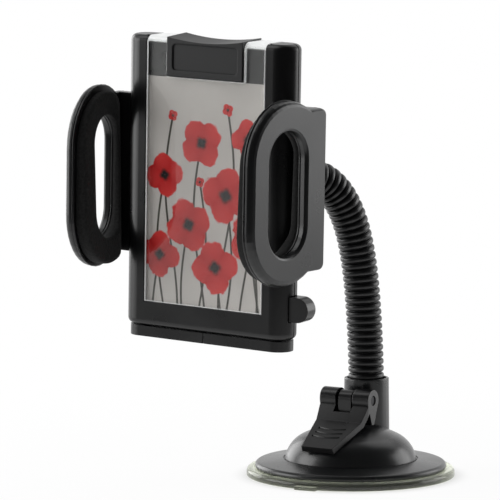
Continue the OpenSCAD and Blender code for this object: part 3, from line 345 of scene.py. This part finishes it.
flutter = addNode(tree, "ShaderNodeTexNoise",
                  {"Scale": patternScale(cardLook["ruffleMm"]), "Detail": 3.0, "Roughness": 0.6},
                  {"Vector": place.outputs["Object"]})
ink = addNode(tree, "ShaderNodeMix",
              {"data_type": "RGBA", "A": linearColour(cardLook["ground"]),
               "B": linearColour(cardLook["groundDeep"])},
              {"Factor": wash.outputs["Fac"]}).outputs["Result"]
flowers = cardLook["poppies"] + [(x, z, r, cardLook["budTurn"]) for x, z, r in cardLook["buds"]]
for number, (x, z, *_) in enumerate(flowers):  # bowed stems, down to the lower edge
    bow = cardLook["bow"] * (1 if number % 2 else -1)
    below = addNode(tree, "ShaderNodeMath", {"operation": "SUBTRACT", 0: z}, {1: cardZ.outputs[0]})
    wave = addNode(tree, "ShaderNodeMath", {"operation": "MULTIPLY", 1: math.pi / cardLook["bowLong"]},
                   {0: below.outputs[0]})
    swing = addNode(tree, "ShaderNodeMath", {"operation": "SINE"}, {0: wave.outputs[0]})
    stemX = addNode(tree, "ShaderNodeMath", {"operation": "MULTIPLY_ADD", 1: bow, 2: x},
                    {0: swing.outputs[0]})
    aside = addNode(tree, "ShaderNodeMath", {"operation": "SUBTRACT"},
                    {0: cardX.outputs[0], 1: stemX.outputs[0]})
    far = addNode(tree, "ShaderNodeMath", {"operation": "ABSOLUTE"}, {0: aside.outputs[0]})
    line = addNode(tree, "ShaderNodeMapRange",
                   {"From Min": cardLook["stemWide"] * cardLook["stemFull"],
                    "From Max": cardLook["stemWide"] * cardLook["stemGone"], "To Min": 1.0, "To Max": 0.0},
                   {"Value": far.outputs[0]})
    lower = addNode(tree, "ShaderNodeMath", {"operation": "GREATER_THAN", 1: 0.0}, {0: below.outputs[0]})
    drawn = addNode(tree, "ShaderNodeMath", {"operation": "MULTIPLY"},
                    {0: line.outputs["Result"], 1: lower.outputs[0]})
    ink = addNode(tree, "ShaderNodeMix", {"data_type": "RGBA", "B": linearColour(cardLook["stem"])},
                  {"Factor": drawn.outputs[0], "A": ink}).outputs["Result"]
for x, z, r, turn in flowers:  # four broad petals with ruffled edges round a dark heart
    dx = addNode(tree, "ShaderNodeMath", {"operation": "SUBTRACT", 1: x}, {0: cardX.outputs[0]})
    dz = addNode(tree, "ShaderNodeMath", {"operation": "SUBTRACT", 1: z}, {0: cardZ.outputs[0]})
    fromHeart = addNode(tree, "ShaderNodeCombineXYZ", None, {0: dx.outputs[0], 1: dz.outputs[0]})
    reach = addNode(tree, "ShaderNodeVectorMath", {"operation": "LENGTH"}, {0: fromHeart.outputs[0]})
    angle = addNode(tree, "ShaderNodeMath", {"operation": "ARCTAN2"}, {0: dz.outputs[0], 1: dx.outputs[0]})
    twice = addNode(tree, "ShaderNodeMath", {"operation": "MULTIPLY_ADD", 1: 2.0, 2: turn},
                    {0: angle.outputs[0]})
    rounds = addNode(tree, "ShaderNodeMath", {"operation": "SINE"}, {0: twice.outputs[0]})
    lobes = addNode(tree, "ShaderNodeMath", {"operation": "ABSOLUTE"}, {0: rounds.outputs[0]})
    ruffle = addNode(tree, "ShaderNodeMath",
                     {"operation": "MULTIPLY_ADD", 1: cardLook["ruffle"] * r, 2: cardLook["petalLeast"] * r},
                     {0: flutter.outputs["Fac"]})
    rim = addNode(tree, "ShaderNodeMath", {"operation": "MULTIPLY_ADD", 1: cardLook["lobe"] * r},
                  {0: lobes.outputs[0], 2: ruffle.outputs[0]})
    outward = addNode(tree, "ShaderNodeMath", {"operation": "DIVIDE"},
                      {0: reach.outputs["Value"], 1: rim.outputs[0]})
    petal = addNode(tree, "ShaderNodeMapRange",
                    {"From Min": cardLook["petalFull"], "From Max": 1.0, "To Min": 1.0, "To Max": 0.0},
                    {"Value": outward.outputs[0]})
    pale = addNode(tree, "ShaderNodeMath", {"operation": "MULTIPLY"},
                   {0: outward.outputs[0], 1: lobes.outputs[0]})
    red = addNode(tree, "ShaderNodeMix",
                  {"data_type": "RGBA", "A": linearColour(cardLook["petal"]),
                   "B": linearColour(cardLook["petalEdge"])},
                  {"Factor": pale.outputs[0]})
    core = addNode(tree, "ShaderNodeMapRange",
                   {"From Min": cardLook["heartFull"], "From Max": cardLook["heartGone"],
                    "To Min": 1.0, "To Max": 0.0},
                   {"Value": outward.outputs[0]})
    bloom = addNode(tree, "ShaderNodeMix", {"data_type": "RGBA", "B": linearColour(cardLook["heart"])},
                    {"Factor": core.outputs["Result"], "A": red.outputs["Result"]})
    painted = addNode(tree, "ShaderNodeMix", {"data_type": "RGBA"},
                      {"Factor": petal.outputs["Result"], "A": ink, "B": bloom.outputs["Result"]})
    ink = painted.outputs["Result"]
fibres = addNode(tree, "ShaderNodeTexNoise", {"Scale": patternScale(cardLook["fibreMm"]), "Detail": 2.0},
                 {"Vector": place.outputs["Object"]})
bump = addNode(tree, "ShaderNodeBump",
               {"Strength": cardLook["fibreStrength"], "Distance": cardLook["fibreDepthMm"] * mm},
               {"Height": fibres.outputs["Fac"]})
shader = addNode(tree, "ShaderNodeBsdfPrincipled",
                 {"Roughness": cardLook["rough"], "IOR": cardLook["ior"],
                  "Specular IOR Level": cardLook["gloss"]},
                 {"Base Color": ink, "Normal": bump.outputs["Normal"]})
addNode(tree, "ShaderNodeOutputMaterial", None, {"Surface": shader.outputs["BSDF"]})
print("card printed with", len(flowers), "flowers")


# which finish each CAD piece takes
finishes = {
    "suction_cup": cupVinyl, "cup_stem": frameAbs, "base_housing": baseAbs,
    "lock_lever": frameAbs, "lever_pin": darkPin,
    "gooseneck_sleeve": sleevePlastic, "gooseneck_core": turnedSteel,
    "lower_ferrule": turnedSteel, "upper_ferrule": frameAbs,
    "ball_stud": turnedSteel, "ball_liner_front": acetal, "ball_liner_rear": acetal, "lock_ring": frameAbs,
    "front_frame": frameAbs, "rear_cover": frameAbs, "case_screws": turnedSteel,
    "clear_cover": coverAcrylic, "cover_grip": gripAbs, "display_card": printedCard,
    "right_arm_carrier": frameAbs, "right_arm_cover": armAbs, "right_arm_pad": padFoam,
    "left_arm_carrier": frameAbs, "left_arm_cover": armAbs, "left_arm_pad": padFoam,
    "pinion": acetal, "pinion_pin": turnedSteel, "opening_spring": turnedSteel,
    "release_button": frameAbs, "button_spring": turnedSteel, "ratchet_pawl": acetal, "pawl_pin": turnedSteel,
    "right_foot": frameAbs, "left_foot": frameAbs, "foot_pins": turnedSteel,
}
for name, finish in finishes.items():
    nodes[name].data.materials.clear()
    nodes[name].data.materials.append(finish)
print("finishes given to", len(finishes), "nodes")


def newPiece(name, points, faces, finish, smooth=True):
    mesh = bpy.data.meshes.new(name)
    mesh.from_pydata(points, [], faces)
    mesh.validate()
    mesh.polygons.foreach_set("use_smooth", [smooth] * len(mesh.polygons))
    mesh.materials.append(finish)
    made = bpy.data.objects.new(name, mesh)
    scene.collection.objects.link(made)
    return made


def tubeOfRings(name, rings, finish, hollow):  # rings joined in turn; a hollow tube closes on its first ring
    count = len(rings[0])
    points = [p for ring in rings for p in ring]
    last = len(rings)
    faces = []
    for i in range(last if hollow else last - 1):
        here, there = i * count, (i + 1) % last * count
        for k in range(count):
            after = (k + 1) % count
            faces.append((here + k, there + k, there + after, here + after))
    if not hollow:
        faces.append(tuple(range(count)))
        faces.append(tuple((last - 1) * count + k for k in reversed(range(count))))
    return newPiece(name, points, faces, finish)


# gooseneck: its centre line rises from the tower and curls over, and each rib is rounded.
# Lengths are in millimetres, turn in degrees
neckShape = {
    "seatZ": 20.0, "curveZ": 24.0, "curveLong": 110.2, "ease": 0.126, "power": 5.55, "tail": 13.9,
    "towerBack": 13.0, "turn": 26.7, "curveSteps": 440,
    "across": 14.6, "groove": 1.1, "bore": 8.4, "pitch": 2.9, "sides": 56,
    "coreAcross": 8.0, "coreStart": -2.8, "coreStep": 2.0,
    "cutRib": 22, "bendFrom": 18.0, "bendGap": 3.0,  # the cut into two parts, and the spans listed for their bends, which nothing here applies
    "ribForm": [(0.0, 1.0), (0.09, 1.0), (0.12, 0.62), (0.18, 0.3), (0.27, 0.1), (0.4, 0.0),
                (0.63, 0.0), (0.76, 0.1), (0.85, 0.3), (0.91, 0.62), (0.94, 1.0)],  # shares of pitch, groove
}
neckRise = neckShape["curveZ"] - neckShape["seatZ"]
neckLong = neckRise + neckShape["curveLong"] + neckShape["tail"]
ribCount = int(neckLong / neckShape["pitch"])
ribStep = neckLong / ribCount
neckTurn = math.radians(neckShape["turn"])
neckOut = Vector((-math.sin(neckTurn), -math.cos(neckTurn), 0))
neckSide = Vector((math.cos(neckTurn), -math.sin(neckTurn), 0))
neckUp = Vector((0, 0, 1))
neckFoot = Vector((0, neckShape["towerBack"], 0))


def curveSlope(u):  # lean from upright, in radians, at a share of the curve
    return math.pi / 2 * (neckShape["ease"] * u + (1 - neckShape["ease"]) * u ** neckShape["power"])


curveSteps = neckShape["curveSteps"]
curveStep = neckShape["curveLong"] / curveSteps
curvePoints = [(0.0, neckShape["curveZ"])]  # out and up
for i in range(curveSteps):
    lean = curveSlope((i + 0.5) / curveSteps)
    out, up = curvePoints[-1]
    curvePoints.append((out + curveStep * math.sin(lean), up + curveStep * math.cos(lean)))


def neckAt(s):  # centre in millimetres and slope of the neck at a length along it
    if s <= neckRise:
        out, up, lean = 0.0, neckShape["seatZ"] + s, 0.0
    elif s <= neckRise + neckShape["curveLong"]:
        u = (s - neckRise) / neckShape["curveLong"]
        i = min(int(u * curveSteps), curveSteps - 1)
        f = u * curveSteps - i
        (outA, upA), (outB, upB) = curvePoints[i:i + 2]
        out, up, lean = outA + f * (outB - outA), upA + f * (upB - upA), curveSlope(u)
    else:
        out, up = curvePoints[-1]
        out, lean = out + s - neckRise - neckShape["curveLong"], math.pi / 2
    return neckFoot + out * neckOut + up * neckUp, lean


def neckRing(s, r):
    centre, lean = neckAt(s)
    acrossDir = math.cos(lean) * neckOut - math.sin(lean) * neckUp
    count = neckShape["sides"]
    return [mm * (centre + r * (math.cos(q) * neckSide + math.sin(q) * acrossDir))
            for q in (2 * math.pi * k / count for k in range(count))]


def sleevePart(name, firstRib, lastRib):
    crest = neckShape["across"] / 2
    outer = [neckRing((rib + at) * ribStep, crest - neckShape["groove"] * deep)
             for rib in range(firstRib, lastRib) for at, deep in neckShape["ribForm"]]
    outer.append(neckRing(lastRib * ribStep, crest - neckShape["groove"]))
    inner = [neckRing(rib * ribStep, neckShape["bore"] / 2) for rib in range(lastRib, firstRib - 1, -1)]
    return tubeOfRings(name, outer + inner, sleevePlastic, True)


def corePart(name, start, end):
    count = int((end - start) / neckShape["coreStep"])
    r = neckShape["coreAcross"] / 2
    rings = [neckRing(start + (end - start) * i / count, r) for i in range(count + 1)]
    return tubeOfRings(name, rings, turnedSteel, False)


def neckPoint(s):  # on the centre line, in metres
    return tuple(mm * neckAt(s)[0])


cutRib = neckShape["cutRib"]
cutAt = cutRib * ribStep
lowerBend = ("base", "neck", neckPoint(neckShape["bendFrom"]), neckPoint(cutAt - neckShape["bendGap"]))
upperBend = ("neck", "head", neckPoint(cutAt + neckShape["bendGap"]), neckPoint(neckLong - neckShape["tail"]))
neckParts = (
    (sleevePart("neckSleeveLower", 0, cutRib), "gooseneck_sleeve", "ribbed_sleeve", lowerBend),
    (sleevePart("neckSleeveUpper", cutRib, ribCount), "gooseneck_sleeve", "ribbed_sleeve", upperBend),
    (corePart("neckCoreLower", neckShape["coreStart"], cutAt), "gooseneck_core", "steel", lowerBend),
    (corePart("neckCoreUpper", cutAt, neckLong), "gooseneck_core", "steel", upperBend),
)
for part, node, slotName, bend in neckParts:
    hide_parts(node)
    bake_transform(part)
print("gooseneck of", ribCount, "ribs made in two bending parts")


# foam pads on the arms: a long ring, thicker downwards, crowned between its rounded edges.
# Lengths are in millimetres, toeIn in degrees
padShape = {
    "reach": 49.0, "midY": -17.75, "armBack": 4.4, "rise": 2.2, "toeIn": 7.3, "plate": 4.4,
    "endR": 23.2, "endFlat": 13.0, "inset": 1.8, "drop": 0.6,
    "holeWide": 22.4, "holeHigh": 48.8, "holeForward": 0.4,
    "thick": 4.4, "slope": 0.04, "rearEdge": 8.065, "rearShare": 0.4, "ramp": 7.0,
    "crown": 0.3, "crownPower": 0.6, "faceRows": 8, "arcSteps": 18, "sideSteps": 10,
    "outerForm": [(0.35, 0.0), (0.06, 0.07), (0.0, 0.25), (0.04, 0.62),
                  (0.22, 0.84), (0.6, 0.95), (1.2, 1.0)],  # inset, share of height
    "holeForm": [(0.9, 1.0), (0.3, 0.94), (0.05, 0.82), (0.0, 0.4), (0.2, 0.0)],  # growth, share of height
}
toeIn = math.radians(padShape["toeIn"])


def longLoop(middle, r, flat):  # a long round-ended loop about the arm's hole, as forward and up
    loop = []
    n, m = padShape["arcSteps"], padShape["sideSteps"]
    for half, turn in ((flat, 0), (-flat, 180)):
        for i in range(2 * n + 1):
            a = math.radians(turn + 180 * i / (2 * n))
            loop.append((middle + r * math.cos(a), half + r * math.sin(a)))
        straight = loop[-1][0]
        for i in range(1, m):
            loop.append((straight, half - 2 * half * i / m))
    return loop


def padLoop(inset):
    loop = longLoop(padShape["endR"], padShape["endR"] - padShape["inset"] - inset, padShape["endFlat"])
    return [(max(p, padShape["rearEdge"] + inset), h - padShape["drop"]) for p, h in loop]


def holeLoop(grow):
    return longLoop(padShape["endR"] + padShape["holeForward"], padShape["holeWide"] / 2 + grow,
                    (padShape["holeHigh"] - padShape["holeWide"]) / 2)


def padHeight(p, h):
    rise = padShape["rearShare"] + (1 - padShape["rearShare"]) * (p - padShape["rearEdge"]) / padShape["ramp"]
    return (padShape["thick"] - padShape["slope"] * h) * min(1, rise) - padShape["crown"]


def raised(loop, share, lift=0.0):
    return [(p, h, padShape["plate"] + share * padHeight(p, h) + lift) for p, h in loop]


def padRings():  # from the pad's foot up its outer edge, over the crowned face and down into the hole
    rings = [raised(padLoop(inset), share) for inset, share in padShape["outerForm"]]
    outerLoop, innerLoop = padLoop(padShape["outerForm"][-1][0]), holeLoop(padShape["holeForm"][0][0])
    for i in range(1, padShape["faceRows"]):
        f = i / padShape["faceRows"]
        between = [(a[0] + f * (b[0] - a[0]), a[1] + f * (b[1] - a[1])) for a, b in zip(outerLoop, innerLoop)]
        lift = padShape["crown"] * math.sin(math.pi * f) ** padShape["crownPower"]
        rings.append(raised(between, 1.0, lift))
    return rings + [raised(holeLoop(grow), share) for grow, share in padShape["holeForm"]]


def onArm(side, p, h, t):  # forward, up and inward on an arm's plate, to metres in the frame
    x = padShape["reach"] - p * math.sin(toeIn) - t * math.cos(toeIn)
    y = padShape["midY"] + padShape["armBack"] - p * math.cos(toeIn) + t * math.sin(toeIn)
    return inCradle(side * x, y, padShape["rise"] + h)


for side, label in ((1, "right"), (-1, "left")):
    placed = [[onArm(side, *q) for q in ring] for ring in padRings()]
    if side < 0:  # mirrored, so its rings run the other way
        placed = [ring[::-1] for ring in placed]
    pad = tubeOfRings(label + "ArmFoamPad", placed, padFoam, True)
    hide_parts(label + "_arm_pad")
    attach(pad, label + "_arm")
print("foam pads made")


# the button's spring, which shortens as the button goes in, is copied here from its CAD coil and set in its
# place
coil = bpy.data.objects.new("buttonCoil", nodes["button_spring"].data.copy())
coil.matrix_world = nodes["button_spring"].matrix_world.copy()
scene.collection.objects.link(coil)
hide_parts("button_spring")
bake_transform(coil)
print("spring made")


# studio, in metres: a pale round floor, soft boxes round the object and above it, and a white room that
# looks dim on one side where the object mirrors it
studio = {
    "floorRadius": 0.32, "floorZ": -0.0004, "floorSides": 96, "floorColour": "#f4f4f4",
    "whiteNear": 0.92, "whiteFrom": 0.1, "whiteTo": 0.3,  # its share of plain white rises with distance
    "shadeTo": 0.034, "shadeGone": 0.05,  # under the cup it is only paper, in the object's own shade
    "aim": (0.0, 0.0, 0.1),
    "boxes": [  # name, place, size, level
        ("rightBox", (0.95, 1.1, 0.36), 1.0, 2.75),
        ("leftBox", (-1.14, -0.74, 0.38), 0.9, 3.2),
        ("leftBack", (-1.28, 0.36, 0.36), 0.8, 2.6),
        ("topBox", (-0.6, -0.5, 1.3), 0.9, 1.6),
        ("backTop", (0.2, 0.9, 1.3), 0.9, 0.8),
    ],
    "ambient": 0.54, "sweep": (-0.8, 0.6, 0.0), "dim": 0.03, "dimTo": -0.25, "fullFrom": 0.35,
    "ceiling": 0.42, "wallTo": 0.25, "ceilingFrom": 0.75,
}
sweepPaper, tree = newMaterial("paperSweepWhite")
place = addNode(tree, "ShaderNodeTexCoord")
distance = addNode(tree, "ShaderNodeVectorMath", {"operation": "LENGTH"}, {0: place.outputs["Object"]})
fade = addNode(tree, "ShaderNodeMapRange",
               {"interpolation_type": "SMOOTHSTEP", "To Min": studio["whiteNear"], "To Max": 1.0,
                "From Min": studio["whiteFrom"], "From Max": studio["whiteTo"]},
               {"Value": distance.outputs["Value"]})
under = addNode(tree, "ShaderNodeMapRange",
                {"interpolation_type": "SMOOTHSTEP", "To Min": 0.0, "To Max": 1.0,
                 "From Min": studio["shadeTo"], "From Max": studio["shadeGone"]},
                {"Value": distance.outputs["Value"]})
paper = addNode(tree, "ShaderNodeBsdfDiffuse", {"Color": linearColour(studio["floorColour"])})
white = addNode(tree, "ShaderNodeEmission", {"Color": (1, 1, 1, 1), "Strength": 1.0})
rays = addNode(tree, "ShaderNodeLightPath")
mirrorOrGlass = addNode(tree, "ShaderNodeMath", {"operation": "MAXIMUM"},
                        {0: rays.outputs["Is Glossy Ray"], 1: rays.outputs["Is Transmission Ray"]})
looking = addNode(tree, "ShaderNodeMath", {"operation": "MAXIMUM"},
                  {0: rays.outputs["Is Camera Ray"], 1: mirrorOrGlass.outputs[0]})
shown = addNode(tree, "ShaderNodeMath", {"operation": "MULTIPLY"},
                {0: looking.outputs[0], 1: fade.outputs["Result"]})
share = addNode(tree, "ShaderNodeMath", {"operation": "MULTIPLY"},
                {0: shown.outputs[0], 1: under.outputs["Result"]})
mixed = addNode(tree, "ShaderNodeMixShader", None,
                {0: share.outputs[0], 1: paper.outputs["BSDF"], 2: white.outputs["Emission"]})
addNode(tree, "ShaderNodeOutputMaterial", None, {"Surface": mixed.outputs["Shader"]})

floorR, floorZ, floorSides = studio["floorRadius"], studio["floorZ"], studio["floorSides"]
floorPoints = [(0, 0, floorZ)]
for k in range(floorSides):
    turned = 2 * math.pi * k / floorSides
    floorPoints.append((floorR * math.cos(turned), floorR * math.sin(turned), floorZ))
floorFaces = [(0, 1 + k, 1 + (k + 1) % floorSides) for k in range(floorSides)]
floor = newPiece("studioFloor", floorPoints, floorFaces, sweepPaper, False)

for name, spot, size, level in studio["boxes"]:
    lamp = bpy.data.lights.new(name, "AREA")
    lamp.shape = "SQUARE"
    lamp.size = size
    lamp.energy = level * math.pi * size * size  # level is how bright its face is
    box = bpy.data.objects.new(name, lamp)
    box.location = spot
    box.rotation_euler = (Vector(spot) - Vector(studio["aim"])).to_track_quat("Z", "Y").to_euler()
    scene.collection.objects.link(box)

world = bpy.data.worlds.new("studioRoom")
scene.world = world
world.use_nodes = True
tree = world.node_tree
tree.nodes.clear()
rays = addNode(tree, "ShaderNodeLightPath")
direction = addNode(tree, "ShaderNodeTexCoord")
sideways = addNode(tree, "ShaderNodeVectorMath", {"operation": "DOT_PRODUCT", 1: studio["sweep"]},
                   {0: direction.outputs["Generated"]})
backdrop = addNode(tree, "ShaderNodeMapRange",
                   {"interpolation_type": "SMOOTHSTEP", "To Min": studio["dim"], "To Max": 1.0,
                    "From Min": studio["dimTo"], "From Max": studio["fullFrom"]},
                   {"Value": sideways.outputs["Value"]})
axes = addNode(tree, "ShaderNodeSeparateXYZ", None, {0: direction.outputs["Generated"]})
ceiling = addNode(tree, "ShaderNodeMapRange",
                  {"interpolation_type": "SMOOTHSTEP", "To Min": 1.0, "To Max": studio["ceiling"],
                   "From Min": studio["wallTo"], "From Max": studio["ceilingFrom"]},
                  {"Value": axes.outputs["Z"]})
room = addNode(tree, "ShaderNodeMath", {"operation": "MULTIPLY"},
               {0: backdrop.outputs["Result"], 1: ceiling.outputs["Result"]})
mirrored = addNode(tree, "ShaderNodeMix", {"A": studio["ambient"]},
                   {"Factor": rays.outputs["Is Glossy Ray"], "B": room.outputs[0]})
whiteSeen = addNode(tree, "ShaderNodeMath", {"operation": "MAXIMUM"},
                    {0: rays.outputs["Is Camera Ray"], 1: rays.outputs["Is Transmission Ray"]})
strength = addNode(tree, "ShaderNodeMix", {"B": 1.0},
                   {"Factor": whiteSeen.outputs[0], "A": mirrored.outputs["Result"]})
sky = addNode(tree, "ShaderNodeBackground", {"Color": (1, 1, 1, 1)}, {"Strength": strength.outputs["Result"]})
addNode(tree, "ShaderNodeOutputWorld", None, {"Surface": sky.outputs["Background"]})
print("studio lit")
